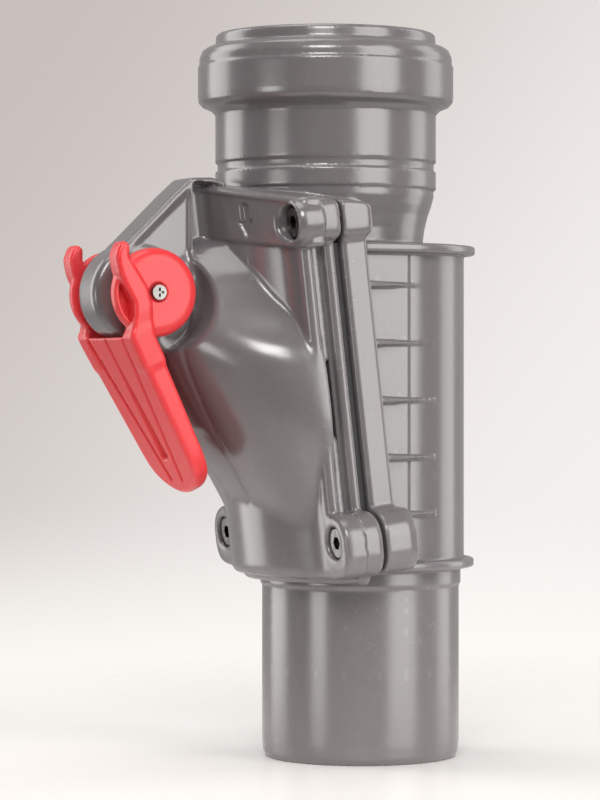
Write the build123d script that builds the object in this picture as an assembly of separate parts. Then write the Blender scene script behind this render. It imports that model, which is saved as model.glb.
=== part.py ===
from build123d import *
import math
import os

# Backwater valve for 50 mm push-fit waste pipe, millimetres.
# Frame: +Z up the pipe towards the socket, +X towards the access cover,
# origin at the centre of the spigot's end face.

# ---- driving dimensions ------------------------------------------------------
PIPE_R = 25.0            # spigot outer radius (50 mm pipe)
WALL = 1.8               # pipe wall
BORE_R = PIPE_R - WALL   # 23.2
SPIGOT_END = 43.5        # end of the plain spigot face
SPIGOT_TOP = 48.1        # underside of the lower plate
PLATE_T = 2.3
PLATE_R = 28.8
CH_TOP = 126.9           # underside of the upper plate
CH_R = 26.3              # outer radius of the chamber's back
CH_IN = 24.2             # inner radius of the chamber's back
SIDE = 26.5              # chamber side wall, outer |y|
SIDE_IN = 24.3
SOCK_X = 9.9             # socket axis offset towards the cover
TOTAL_H = 182.7
BEAD_R = 32.3
SOCK_IN = 25.25          # socket bore for the 50 mm pipe
SEAT_IN = 19.6           # seat bore
SEAT_OUT = 21.9
SEAT_Z = 123.6           # seat face

TILT = 6.7               # flange inclination, degrees
FX, FZ = 17.0, 96.0      # reference point of the flange plane (ear level)
UC = -15.77              # centre of the flange's convex middle
R_BODY = 31.27           # interface radii: body, gasket, frame, seal, cover
R_GASK = 32.5
R_FRAME = 34.3
R_SEAL = 34.8
R_COVER = 36.5
U_GASK, U_FRAME, U_SEAL, U_COVER = 2.0, 5.75, 5.75, 11.2
EDGE = 31.0              # straight flange edge, |y|
SCR_V = 39.2             # screw height along the slope
SCR_YB, SCR_YT = 31.8, 29.0
EAR_RB, EAR_RT = 6.7, 5.6
EAR_DROP = 2.7           # the lower ears reach down to the flange's level bottom edge

SX, SZ = 63.1, 116.6     # spindle axis
WEB = 5.8                # half width of the fin
BOSS_R = 12.3
HUB_R = 10.9
RECESS_R = 15.8
SLOT = 3.4               # half width of the hollow in the fin
HX, HZ = 35.6, 120.5     # flap hinge axis
BETA = 17.0              # inclination of the latch plunger
PLUNGE = 6.0             # plunger stroke
TURN = 130.0             # lever travel, degrees
FLAP_R = 21.6
FLAP_L = 25.7            # hinge to flap centre

ct, st = math.cos(math.radians(TILT)), math.sin(math.radians(TILT))
cb, sb = math.cos(math.radians(BETA)), math.sin(math.radians(BETA))


def cyl_z(r, z0, z1, x=0.0, y=0.0):
    return Pos(x, y, (z0 + z1) / 2) * Cylinder(r, z1 - z0)


def cyl_y(r, y0, y1, x, z):
    return Pos(x, (y0 + y1) / 2, z) * Rot(90, 0, 0) * Cylinder(r, y1 - y0)


def bx(x0, x1, y0, y1, z0, z1):
    return Pos((x0 + x1) / 2, (y0 + y1) / 2, (z0 + z1) / 2) * Box(x1 - x0, y1 - y0, z1 - z0)


def revolve_z(pts, x=0.0):
    with BuildPart() as p:
        with BuildSketch(Plane.XZ):
            with BuildLine():
                Polyline(*[(r, z) for r, z in pts], close=True)
            make_face()
        revolve(axis=Axis.Z)
    return Pos(x, 0, 0) * p.part


def uv(u, v, y=0.0):
    return (FX + u * ct + v * st, y, FZ - u * st + v * ct)


FP = Plane(origin=(FX, 0, FZ), x_dir=(0, 1, 0), z_dir=(ct, 0, -st))      # local (y, v, u)
PP = Plane(origin=(FX, 0, FZ), x_dir=(ct, 0, -st), z_dir=(st, 0, ct))    # local (u, y, v)


def slab(u0, u1, y0=-60, y1=60, v0=-130, v1=130):
    return PP * (Pos((u0 + u1) / 2, (y0 + y1) / 2, (v0 + v1) / 2) * Box(u1 - u0, y1 - y0, v1 - v0))


def layer(radius, flat, u_low=-7.0):
    """Everything between u_low and the front surface of a flange layer."""
    arc = PP * (Pos(UC, 0, 0) * Cylinder(radius, 260))
    return slab(u_low, flat) + (arc & slab(u_low, 60))


def half_above(z):
    return bx(-80, 120, -80, 80, z, 260)


def half_below(z):
    return bx(-80, 120, -80, 80, -60, z)


ARCH = [(-45, 42.6), (-31, 45.1), (-23.6, 46.4), (-17.7, 47.5), (-10.9, 49.0), (0, 50.9), (10.9, 49.0), (17.7, 47.5), (23.6, 46.4),
        (31, 45.1), (45, 42.6)]


def top_arch(rise):
    """Region below the arched top edge of the flange, extruded along u."""
    with BuildPart() as p:
        with BuildSketch(FP.offset(-20)):
            with BuildLine():
                a = Spline(*[(y, v + rise) for y, v in ARCH])
                Polyline(a @ 1, (45, -70), (-45, -70), a @ 0)
            make_face()
        extrude(amount=70)
    return p.part


def under_roof():
    """Region below the pitched top edge that the flange layers share."""
    with BuildPart() as p:
        with BuildSketch(Plane(origin=(-20, 0, 0), x_dir=(0, 1, 0), z_dir=(1, 0, 0))):
            with BuildLine():
                Polyline((-50, 132.76), (0, 137.26), (50, 132.76), (50, -60), (-50, -60), close=True)
            make_face()
        extrude(amount=130, dir=(1, 0, 0.12))
    return p.part


def rod_u(r, y, v, u0, u1):
    return FP * (Pos(y, v, (u0 + u1) / 2) * Cylinder(r, u1 - u0))


def outline(edge, grow, rise, z_low, waist_ears=True):
    """Flange outline: straight sides, four ears, arched top, level bottom."""
    body = slab(-12, 40, -edge, edge)
    for s in (-1, 1):
        if waist_ears:
            yb, yt = s * SCR_YB, s * SCR_YT
            body = body + rod_u(EAR_RB + grow, yb, -SCR_V, -12, 40)
            body = body + rod_u(EAR_RB + grow, yb, -SCR_V - EAR_DROP, -12, 40)
            body = body + slab(-12, 40, min(0, yb), max(0, yb), -52, -SCR_V)
            body = body + slab(-12, 40, min(s * 25, s * (SCR_YB + EAR_RB + grow)), max(s * 25, s * (SCR_YB + EAR_RB + grow)),
                               -SCR_V - EAR_DROP, -SCR_V)
            body = body + rod_u(EAR_RT + grow, yt, SCR_V, -12, 40)
            body = body + slab(-12, 40, min(0, yt), max(0, yt), SCR_V, 47)
    body = body & top_arch(rise)
    return body & half_above(z_low)


def low_ear(s, u0, u1, grow=0.0):
    r = EAR_RB + grow
    ear = rod_u(r, s * SCR_YB, -SCR_V, u0, u1) + rod_u(r, s * SCR_YB, -SCR_V - EAR_DROP, u0, u1)
    ya, yb = sorted((s * (28.5 - grow), s * (SCR_YB + r)))
    return ear + slab(u0, u1, ya, yb, -SCR_V - EAR_DROP, -SCR_V) + slab(u0, u1, *sorted((s * (28.5 - grow), s * SCR_YB)), -52, -SCR_V)


# opening through the flange, (y, v) rounded rectangle
def opening(half, v0, v1, r, u0=-12, u1=45):
    with BuildPart() as p:
        with BuildSketch(FP.offset(u0)):
            with Locations((0, (v0 + v1) / 2)):
                RectangleRounded(2 * half, v1 - v0, r)
        extrude(amount=u1 - u0)
    return p.part


# ---- body ---------------------------------------------------------------------
ROOF = under_roof()
flange_solid = outline(EDGE, 0, 0, SPIGOT_TOP + 0.1) & layer(R_BODY, 0.0) & ROOF
flange_solid = flange_solid - bx(-80, 120, 33.0, 60, 100, 170) - bx(-80, 120, -60, -33.0, 100, 170)
# the front layer is a frame: the band is 7 mm deep
plan_back = cyl_z(CH_R, SPIGOT_TOP, CH_TOP + PLATE_T)
plan_side = bx(0, 40, -SIDE, SIDE, SPIGOT_TOP, CH_TOP + PLATE_T)
chamber = (plan_back + plan_side) & layer(R_BODY, 0.0, u_low=-90)
plate_lo = cyl_z(PLATE_R, SPIGOT_TOP, SPIGOT_TOP + PLATE_T) + bx(-2, 12, -PLATE_R, PLATE_R, SPIGOT_TOP, SPIGOT_TOP + PLATE_T)
plate_hi = cyl_z(PLATE_R + 0.3, CH_TOP, CH_TOP + PLATE_T) + bx(-2, 16, -PLATE_R - 0.3, PLATE_R + 0.3, CH_TOP, CH_TOP + PLATE_T)
plates = (plate_lo + plate_hi) & layer(R_BODY, 0.0, u_low=-90)
spigot = revolve_z([(0, 0), (PIPE_R - 1.0, 0), (PIPE_R - 0.25, 1.6), (PIPE_R, 4.5), (PIPE_R, SPIGOT_END),
                    (PIPE_R + 0.45, SPIGOT_END + 0.6), (PIPE_R + 0.45, SPIGOT_TOP + 1), (0, SPIGOT_TOP + 1)])
sock_pts = [(0, CH_TOP), (24.6, CH_TOP), (24.6, 130.0), (25.0, 133.2), (25.8, 136.6), (26.7, 139.2), (27.3, 141.4),
            (27.3, 143.1), (27.9, 143.4), (27.9, 147.7), (27.35, 148.0), (27.35, 149.9), (27.9, 150.2),
            (27.9, 162.3), (29.2, 163.6), (31.2, 164.4), (32.1, 165.4), (BEAD_R, 166.8), (BEAD_R, 174.4),
            (BEAD_R - 0.35, 174.7), (BEAD_R - 0.4, 176.6), (BEAD_R - 1.1, 178.3), (BEAD_R - 2.4, 179.2), (28.3, 179.3), (27.9, 179.7),
            (27.7, 182.1), (27.1, TOTAL_H), (0, TOTAL_H)]
socket = revolve_z(sock_pts, SOCK_X)
body = spigot + chamber + plates + flange_solid + socket
# bosses behind the screw ears
for s in (-1, 1):
    lo = rod_u(EAR_RB - 0.2, s * SCR_YB, -SCR_V, -8.9, 0) + slab(-8.9, 0, min(s * 24, s * 38.3), max(s * 24, s * 38.3), -49, -SCR_V)
    body = body + (lo & half_above(SPIGOT_TOP + 0.1))
    body = body + (rod_u(5.2, s * SCR_YT, SCR_V, -8.2, 0) & ROOF & bx(-80, 120, -33.0, 33.0, 100, 170))
    # wedge gussets on the chamber's sides
    for zc in (118.9, 104.6, 90.5, 76.4, 62.4):
        x_b = FX - 7.0 * ct + (zc - FZ) * math.tan(math.radians(TILT)) + 0.6
        with BuildPart() as rb:
            with BuildSketch(Plane(origin=(0, 0, zc - 0.6), x_dir=(1, 0, 0), z_dir=(0, 0, 1))):
                with BuildLine():
                    Polyline((x_b, s * 26.2), (x_b, s * 30.4), (x_b - 14.5, s * 26.6), (x_b - 14.5, s * 26.2), close=True)
                make_face()
            extrude(amount=1.2)
        body = body + rb.part
# waterway
inner_ch = (cyl_z(CH_IN, SPIGOT_TOP + PLATE_T, CH_TOP) + bx(0, 34, -SIDE_IN, SIDE_IN, SPIGOT_TOP + PLATE_T, CH_TOP))
inner_ch = inner_ch & layer(R_BODY - 4.0, -4.0, u_low=-90)
body = body - inner_ch
body = body - (opening(24.3, -42.6, 34.5, 8.0) & slab(-12, 45) & bx(6, 60, -40, 40, 50, 130))
seat = cyl_z(SEAT_OUT, SEAT_Z + 0.6, 132, SOCK_X) + cyl_z(SEAT_OUT - 0.9, SEAT_Z, CH_TOP, SOCK_X)
body = body + (seat & layer(R_BODY, 0.0, u_low=-90))
body = body - cyl_z(SEAT_IN, SEAT_Z - 1, 134, SOCK_X)
body = body - revolve_z([(0, 130), (SEAT_IN, 130), (22.4, 134.5), (23.0, 141.0), (SOCK_IN, 143.2), (SOCK_IN, TOTAL_H - 1.4),
                         (SOCK_IN + 1.1, TOTAL_H), (SOCK_IN + 1.1, TOTAL_H + 2), (0, TOTAL_H + 2)], SOCK_X)
body = body - revolve_z([(20, 166.6), (29.9, 166.6), (29.9, 177.4), (20, 177.4)], SOCK_X)
body = body - cyl_z(BORE_R, -1, SPIGOT_TOP + PLATE_T + 1)
body = body & (layer(R_BODY, 0.0, u_low=-120) + half_above(146.0) + half_below(SPIGOT_TOP))
# groove for the frame gasket, screw holes with brass inserts
for s in (-1, 1):
    body = body - rod_u(2.75, s * SCR_YB, -SCR_V, -7.6, 1)
    body = body - rod_u(2.75, s * SCR_YT, SCR_V, -7.6, 1)

# ---- frame gasket -------------------------------------------------------------
gap = 0.02
gasket = (outline(EDGE - 1.9, -1.6, -2.2, SPIGOT_TOP + 1.2) & layer(R_GASK, U_GASK - gap, u_low=0)) - layer(R_BODY + gap, gap, u_low=-60)
gasket = gasket - opening(25.0, -43.4, 35.2, 8.6)
gasket = gasket & (Pos(0, 0, -1.8) * ROOF)
for s in (-1, 1):
    gasket = gasket - low_ear(s, -12, 40, 0.4) - rod_u(6.1, s * SCR_YT, SCR_V, -12, 40)

# ---- flap frame ----------------------------------------------------------------
f_lip = outline(EDGE, 0, 1.2, 45.2) & layer(R_FRAME - 0.4, 4.9, u_low=U_GASK)
f_core = outline(EDGE - 2.1, -0.1, 0.0, 47.2) & layer(R_FRAME, U_FRAME, u_low=U_GASK)
frame = (f_lip + f_core) - layer(R_GASK + gap, U_GASK, u_low=-60)
for s in (-1, 1):
    ear_b = low_ear(s, 0.85, U_FRAME)
    ear_t = rod_u(EAR_RT, s * SCR_YT, SCR_V, 0.85, U_FRAME)
    ear_b = ear_b & half_above(45.2)
    cut = layer(R_BODY + 1.2, -5, u_low=-60)
    frame = frame + (ear_b - cut) + (ear_t - cut)
frame = frame & half_above(45.2) & ROOF
frame = frame - cyl_z(PIPE_R + 1.3, 40, SPIGOT_TOP + PLATE_T + 0.1)
frame = frame - cyl_z(29.0, 127, 170, SOCK_X)
frame = frame - opening(24.3, -42.6, 34.5, 8.0)
for s in (-1, 1):
    frame = frame - rod_u(2.2, s * SCR_YB, -SCR_V, -12, 40) - rod_u(2.2, s * SCR_YT, SCR_V, -12, 40)
# hinge lugs under the frame's top rail
for s in (-1, 1):
    y0, y1 = sorted((s * 11.4, s * 14.6))
    lug = cyl_y(2.9, y0, y1, HX, HZ) + bx(HX - 2.9, HX + 2.9, y0, y1, HZ, HZ + 12)
    in_open = lug & opening(24.2, -42.6, 34.4, 8.0)
    in_rail = (lug & layer(R_FRAME, U_FRAME, u_low=2)) - layer(R_GASK + gap, U_GASK, u_low=-60)
    frame = frame + in_open + in_rail
    frame = frame - cyl_y(1.52, y0 - 1, y1 + 1, HX, HZ)

# ---- cover seal ------------------------------------------------------------------
seal_in, seal_out = opening(26.1, -44.4, 36.4, 8.6), opening(27.5, -45.8, 37.8, 9.6)
cover_seal = (seal_out - seal_in) & (layer(R_FRAME + 1.0, U_FRAME + 1.0, u_low=-5) - layer(R_FRAME + gap, U_FRAME + gap, u_low=-60))
cover_seal = cover_seal & half_above(48.2) & half_below(135)

# ---- cover -----------------------------------------------------------------------
SECT = [  # z, start x, nose x, half width, exponent
    (52.0, 19.0, 28.0, 19.7, 2.8), (57.0, 19.5, 29.0, 20.7, 2.8), (64.0, 20.5, 32.4, 23.4, 2.6), (74.0, 22.0, 39.2, 28.6, 2.35),
    (84.0, 23.2, 46.0, 32.2, 2.2), (94.0, 24.4, 52.4, 32.4, 2.05), (104.0, 25.6, 58.4, 29.4, 1.8), (111.0, 26.4, 61.2, 24.4, 1.6),
    (117.0, 27.1, 61.2, 20.9, 1.45), (122.0, 27.7, 58.0, 18.1, 1.4), (126.0, 28.2, 53.0, 14.4, 1.45), (129.0, 28.6, 47.5, 11.7, 1.6)]


def section_face(z, x0, xs, w, p, n=9):
    pts = []
    for i in range(n):
        s = 1.0 - i / (n - 1)
        t = (1 - s ** p) ** (1 / p)
        pts.append((x0 + (xs - x0) * t, w * s))
    pts = [(x0, w)] + [((a + x0 * 0.0), b) for a, b in pts[1:]]
    full = pts + [(a, -b) for a, b in reversed(pts[:-1])]
    with BuildSketch(Plane.XY.offset(z)) as sk:
        with BuildLine():
            Spline(*full)
            Line(full[-1], full[0])
        make_face()
    return sk.sketch


def dome(shrink=0.0):
    faces = []
    for z, x0, xs, w, p in SECT:
        faces.append(section_face(z, x0 - (6 if shrink else 0), xs - shrink * 1.12, w - shrink, p))
    if shrink:
        faces = faces[1:-1]
    return loft(faces)


dome_out = dome()
dome_in = dome(2.5)
c_lip = outline(EDGE, 0, 0, 46.9) & layer(R_COVER, U_COVER, u_low=U_FRAME + 2.15)
c_core = outline(EDGE - 2.1, -0.1, -0.8, 46.9) & layer(R_COVER - 0.6, U_COVER, u_low=U_SEAL)
flange = c_lip + c_core
for s in (-1, 1):
    ear_b = low_ear(s, U_SEAL, 10.4)
    ear_t = rod_u(EAR_RT, s * SCR_YT, SCR_V, U_SEAL, 13.0)
    flange = flange + (ear_b & half_above(46.9)) + ear_t
flange = flange & half_above(46.9) & ROOF
# head block with the arrow panel
with BuildPart() as hb:
    with BuildSketch(Plane(origin=uv(0, 33.6), x_dir=(ct, 0, -st), z_dir=(st, 0, ct))):
        with BuildLine():
            arc = ThreePointArc((10.4, -33.4), (17.9, -16.7), (23.5, 0))
            arc2 = ThreePointArc((23.5, 0), (17.9, 16.7), (10.4, 33.4))
            Polyline(arc2 @ 1, (5, 33.4), (5, -33.4), arc @ 0)
        make_face()
    extrude(amount=22)
head = hb.part & top_arch(0) & layer(80, 60, u_low=U_SEAL)
with BuildPart() as low:
    with BuildSketch(FP.offset(-20)):
        with BuildLine():
            Polyline((-45, 31.0), (-31, 32.8), (-5.8, 36.2), (0, 37.0), (5.8, 36.2), (31, 32.8), (45, 31.0), (45, 20), (-45, 20), close=True)
        make_face()
    extrude(amount=70)
head = (head - low.part) & ROOF
# fin and spindle boss
with BuildPart() as fin:
    with BuildSketch(Plane(origin=(0, WEB, 0), x_dir=(1, 0, 0), z_dir=(0, -1, 0))):
        with BuildLine():
            Polyline((30, 128), (36, 143.6), (44, 145.4), (49.5, 145.2), (54.2, 141.0), (67.4, 128.3), (SX + 6, SZ + 4), (SX + 6, SZ - 10.4), (56.0, 102.5),
                     (46, 84), (36, 80), (30, 100), close=True)
        make_face()
    extrude(amount=2 * WEB)
web = fin.part + (cyl_y(BOSS_R, -WEB, WEB, SX, SZ) & half_above(SZ - 11.2))
outer = dome_out + head
for s in (-1, 1):
    y0, y1 = sorted((s * WEB, s * 60))
    outer = outer - cyl_y(RECESS_R, y0, y1, SX, SZ)
cover = flange + outer + web
cover = cover - layer(R_FRAME + gap, U_SEAL, u_low=-60)
# hollow: dome inside, kept clear of the hub recesses, plus the slot in the fin
hollow = dome_in
for s in (-1, 1):
    y0, y1 = sorted((s * SLOT, s * 60))
    hollow = hollow - cyl_y(RECESS_R + 2.2, y0, y1, SX, SZ)
with BuildPart() as sl:
    with BuildSketch(Plane(origin=(0, SLOT, 0), x_dir=(1, 0, 0), z_dir=(0, -1, 0))):
        with BuildLine():
            Polyline((34, 124), (40, 132), (44, 136.5), (50.5, 137.6), (62.0, 126.8), (SX, SZ), (SX - 6.0, SZ - 8.6), (54.5, 104.5), (45.5, 88), (34, 90), close=True)
        make_face()
    extrude(amount=2 * SLOT)
slot = sl.part + cyl_y(10.4, -SLOT, SLOT, SX, SZ)
throat = opening(24.3, -42.6, 34.5, 8.0, u0=0, u1=30) - cyl_y(RECESS_R + 2.2, -60, 60, SX, SZ)
throat = throat & layer(R_COVER - 2.4, 9.0, u_low=-10)
cover = cover - hollow - throat - slot
# room for the flap as it hangs
cover = cover - (Pos(34.3, 0, HZ - FLAP_L) * Rot(0, 90, 0) * Cylinder(FLAP_R + 0.6, 8.0))
cover = cover - ((seal_out - seal_in) & layer(R_FRAME + 1.0 + gap, U_FRAME + 1.0 + gap, u_low=-5) & half_above(48.2) & half_below(135))
cover = cover - (cyl_z(PIPE_R + 1.3, 40, SPIGOT_TOP + 0.2))
cover = cover - cyl_z(29.0, 131, 170, SOCK_X)
for s in (-1, 1):
    y0, y1 = sorted((s * 11.0, s * 15.8))
    cover = cover - (bx(HX - 3.4, HX + 3.4, y0, y1, HZ - 3.4, HZ + 12) & opening(24.3, -42.6, 34.5, 8.0))
# engraved flow arrow on the panel, pointing with the flow (down)
YA = 15.3
shell_skin = hb.part - (Pos(-0.8 * ct, 0, 0.8 * st) * hb.part)
for s in (-1, 1):
    with BuildPart() as ar:
        with BuildSketch(Plane(origin=uv(14, 0), x_dir=(0, 1, 0), z_dir=(ct, 0, -st))):
            with BuildLine():
                c = s * YA
                Polyline((c - 1.1, 44.9), (c + 1.1, 44.9), (c + 1.1, 40.8), (c + 2.2, 40.8), (c, 36.3), (c - 2.2, 40.8), (c - 1.1, 40.8), close=True)
            make_face()
        extrude(amount=30)
    cover = cover - (ar.part & shell_skin)
# screw seats and clearance holes
for s in (-1, 1):
    cover = cover - rod_u(2.2, s * SCR_YB, -SCR_V, -12, 40) - rod_u(3.95, s * SCR_YB, -SCR_V, 7.4, 40)
    cover = cover - rod_u(2.2, s * SCR_YT, SCR_V, -12, 40) - rod_u(4.1, s * SCR_YT, SCR_V, 8.6, 40)
# spindle bores in the boss walls
cover = cover - cyl_y(4.2, -20, 20, SX, SZ)

# ---- screws and inserts -------------------------------------------------------------
def cap_screw(y, v, u_head, u_tip):
    body_s = rod_u(1.95, y, v, u_tip, u_head + 0.1) + rod_u(3.5, y, v, u_head, u_head + 3.0)
    hexs = FP * (Pos(y, v, u_head + 1.1) * extrude(RegularPolygon(1.75, 6), 3.0))
    return body_s - hexs


screws = []
for s in (-1, 1):
    screws.append(cap_screw(s * SCR_YB, -SCR_V, 7.4, -6.2))
    screws.append(cap_screw(s * SCR_YT, SCR_V, 8.6, -6.2))
inserts = []
for s in (-1, 1):
    for y, v in ((s * SCR_YB, -SCR_V), (s * SCR_YT, SCR_V)):
        inserts.append(rod_u(2.74, y, v, -7.5, -0.3) - rod_u(1.97, y, v, -8, 1))

# ---- socket seal ----------------------------------------------------------------------
socket_seal = revolve_z([(26.3, 168.2), (29.8, 166.75), (29.8, 177.3), (28.6, 177.3), (28.1, 173.0), (26.9, 171.6),
                         (25.35, 172.6), (25.15, 171.7), (25.5, 170.2)], SOCK_X)

# ---- flap (drawn closed, then swung down to hang) ---------------------------------------
fc = HX - FLAP_L
flap = cyl_z(FLAP_R, 119.3, 121.7, fc)
flap = flap + cyl_z(FLAP_R - 7.0, 118.2, 119.4, fc)
flap = flap + bx(fc, HX, -9.0, 9.0, 119.3, 121.7) + cyl_y(2.7, -11.0, 11.0, HX, HZ)
flap = flap & (bx(-40, HX - 0.5, -40, 40, 100, 140) + cyl_y(2.7, -11.0, 11.0, HX, HZ))
heel = Pos(HX, 0, HZ) * Rot(0, BETA, 0) * (Pos(3.25, 0, 0) * Box(6.5, 5.2, 3.0))
flap = flap + heel
for s in (-1, 1):
    flap = flap + bx(fc - 14, HX - 1.5, min(s * 6.0, s * 7.6), max(s * 6.0, s * 7.6), 117.6, 119.6)
flap = flap - cyl_y(1.56, -20, 20, HX, HZ) - cyl_z(1.3, 110, 130, fc)
flap_seal = (cyl_z(FLAP_R, 121.7, 123.4, fc) - cyl_z(16.0, 121, 124, fc)) & bx(-40, HX - 3.2, -40, 40, 100, 140)
retainer = cyl_z(15.9, 121.7, 123.2, fc) - cyl_z(1.45, 120, 124, fc)
ret_screw = cyl_z(1.28, 117.4, 123.3, fc) + cyl_z(2.6, 123.2, 124.7, fc)
ret_screw = ret_screw - (Pos(fc, 0, 124.4) * Box(3.2, 0.6, 1.2)) - (Pos(fc, 0, 124.4) * Box(0.6, 3.2, 1.2))
SWING = -91.16           # the centre of mass hangs straight below the hinge


def hang(part):
    return Pos(HX, 0, HZ) * Rot(0, SWING, 0) * Pos(-HX, 0, -HZ) * part


hinge_pin = cyl_y(1.5, -15.6, 15.6, HX, HZ)
clips = [cyl_y(2.9, 14.65, 15.25, HX, HZ) - cyl_y(1.5, 14, 16, HX, HZ), cyl_y(2.9, -15.25, -14.65, HX, HZ) - cyl_y(1.5, -16, -14, HX, HZ)]

# ---- spindle, cam and latch plunger ------------------------------------------------------
spindle = cyl_y(3.0, -15.2, 15.2, SX, SZ)
for s in (-1, 1):
    spindle = spindle - cyl_y(0.95, min(s * 8.0, s * 16), max(s * 8.0, s * 16), SX, SZ)
r0 = 4.35
ratio = PLUNGE / math.radians(TURN)
pts = []
a0 = 180.0 - BETA
for i in range(0, 27):
    a = a0 - i * 5.0
    pts.append((a, r0 + ratio * math.radians(i * 5.0)))
pts.append((a0 - 138.0, r0 + PLUNGE))
pts += [(a0 - 170.0, 9.0), (a0 - 205.0, 6.9), (a0 - 245.0, 5.3), (a0 - 290.0, 4.5), (a0 - 335.0, r0 - 0.05)]
pts = [(a, r - 0.16) for a, r in pts]
with BuildPart() as cm:
    with BuildSketch(Plane(origin=(SX, 3.1, SZ), x_dir=(1, 0, 0), z_dir=(0, -1, 0))):
        with BuildLine():
            Polyline(*[(r * math.cos(math.radians(a)), r * math.sin(math.radians(a))) for a, r in pts], close=True)
        make_face()
    extrude(amount=6.2)
cam = cm.part - cyl_y(3.02, -10, 10, SX, SZ)
cam_hole = Pos(SX, 0, SZ) * Cylinder(0.8, 30)
cam_pin = Pos(SX, 0, SZ) * Pos(0, 0, 1.2) * Cylinder(0.79, 9.6)
cam_pin = cam_pin & cyl_y(5.6, -3, 3, SX, SZ)
cam = cam - (cam_hole & half_above(SZ - 4.4))
spindle = spindle - (cam_hole & half_above(SZ - 4.4) & cyl_y(3.5, -5, 5, SX, SZ))
bushes, orings = [], []
for s in (-1, 1):
    bush = cyl_y(4.18, min(s * 3.45, s * 5.8), max(s * 3.45, s * 5.8), SX, SZ) + cyl_y(5.2, min(s * 5.82, s * 6.5), max(s * 5.82, s * 6.5), SX, SZ)
    bush = bush + cyl_y(4.18, min(s * 5.7, s * 5.9), max(s * 5.7, s * 5.9), SX, SZ)
    bushes.append(bush - cyl_y(3.05, -20, 20, SX, SZ))
    ring = Pos(SX, s * 7.1, SZ) * Rot(90, 0, 0) * Torus(3.62, 0.55)
    orings.append(ring)

# plunger axis runs from the spindle towards the hinge, a = distance from the hinge side
def on_axis(a, b=4.35):
    return (HX + a * cb + b * sb, 0, HZ - a * sb + b * cb)


a_s = (SX - HX) * cb - (SZ - HZ) * sb
b_s = (SX - HX) * sb + (SZ - HZ) * cb
PL = Plane(origin=on_axis(0, b_s), x_dir=(0, 1, 0), z_dir=(cb, 0, -sb))   # local z runs to the spindle


def rod_a(r, a_0, a_1):
    return PL * (Pos(0, 0, (a_0 + a_1) / 2) * Cylinder(r, a_1 - a_0))


a_tip = 8.3
a_end = a_s - r0 - 0.35
plunger = rod_a(2.1, a_tip, a_end - 1.0) + rod_a(1.2, a_end - 1.2, a_end)
plunger = plunger - (rod_a(2.4, a_end - 2.6, a_end - 2.0) - rod_a(1.7, a_end - 3, a_end - 1.6))
clip = rod_a(3.2, a_end - 2.6 + 0.05, a_end - 2.05) - rod_a(1.72, a_end - 3, a_end - 1.6)
g0, g1 = 10.4, 12.6
guide = (PL * (Pos(0, 0, (g0 + g1) / 2) * Box(2 * SLOT - 0.1, 10.2, g1 - g0))) - rod_a(2.16, g0 - 1, g1 + 1)
s0, s1 = g1 + 0.05, a_end - 2.65
turns = 4
wire = 0.26
with BuildPart() as spr:
    with BuildLine() as hl:
        hx = Helix(pitch=(s1 - s0 - 2 * wire) / turns, height=s1 - s0 - 2 * wire, radius=2.72)
    with BuildSketch(Plane(origin=hx @ 0, z_dir=hx % 0)):
        Circle(wire)
    sweep(path=hl.wire(), is_frenet=True)
spring = PL * (Pos(0, 0, s0 + wire) * spr.part)

# ---- lever -----------------------------------------------------------------------------
BL = math.radians(-116.7)
ex, ez = math.cos(BL), math.sin(BL)          # down the blade
nx, nz = -ez, ex                              # outward normal of the blade


def lv(along, normal):
    return (SX + along * ex + normal * nx, SZ + along * ez + normal * nz)


def prism_y(points, y0, y1):
    with BuildPart() as q:
        with BuildSketch(Plane(origin=(0, y1, 0), x_dir=(1, 0, 0), z_dir=(0, -1, 0))):
            with BuildLine():
                Polyline(*points, close=True)
            make_face()
        extrude(amount=y1 - y0)
    return q.part


HUB_IN, HUB_OUT = 12.0, 16.6
arms = []
for s in (-1, 1):
    y0, y1 = sorted((s * HUB_IN, s * HUB_OUT))
    hub = cyl_y(HUB_R, y0, y1, SX, SZ)
    hub = fillet(hub.edges().filter_by(GeomType.CIRCLE).sort_by(Axis.Y)[-1 if s > 0 else 0], 2.2)
    yp, yq = sorted((s * 13.2, s * 18))
    pocket = cyl_y(HUB_R - 1.4, yp, yq, SX, SZ) & prism_y([lv(-12, 6.7), lv(12, 6.7), lv(12, 14), lv(-12, 14)], yp, yq)
    hub = hub - pocket
    ya, yb = sorted((s * HUB_IN, s * 17.7))
    arm = prism_y([lv(-11.0, 3.2), lv(-13.6, 1.9), lv(-15.2, 2.6), lv(-15.0, 3.9), lv(-14.2, 5.0), lv(-12.8, 6.3), lv(-11.0, 6.9), lv(-8.7, 7.4),
                   lv(-5.8, 7.5), lv(-0.8, 7.3), lv(2.4, 8.6), lv(5.5, 10.8), lv(10.0, 11.2), lv(10.0, 5.8), lv(8.5, 6.2),
                   lv(1.8, 3.0), lv(-2.3, 2.2)], ya, yb)
    arms.append(hub + arm)
with BuildPart() as bl:
    o = lv(13.0, 5.6)
    with BuildSketch(Plane(origin=(o[0], 0, o[1]), x_dir=(0, 1, 0), z_dir=(nx, 0, nz))):
        with BuildLine():
            # local x = y, local y = up the blade (so the tip is negative)
            Polyline((-13.8, -30.5), (-17.2, 6.5), (17.2, 6.5), (13.8, -30.5))
            ThreePointArc((-13.8, -30.5), (0, -37.4), (13.8, -30.5))
        make_face()
    extrude(amount=6.0)
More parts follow.
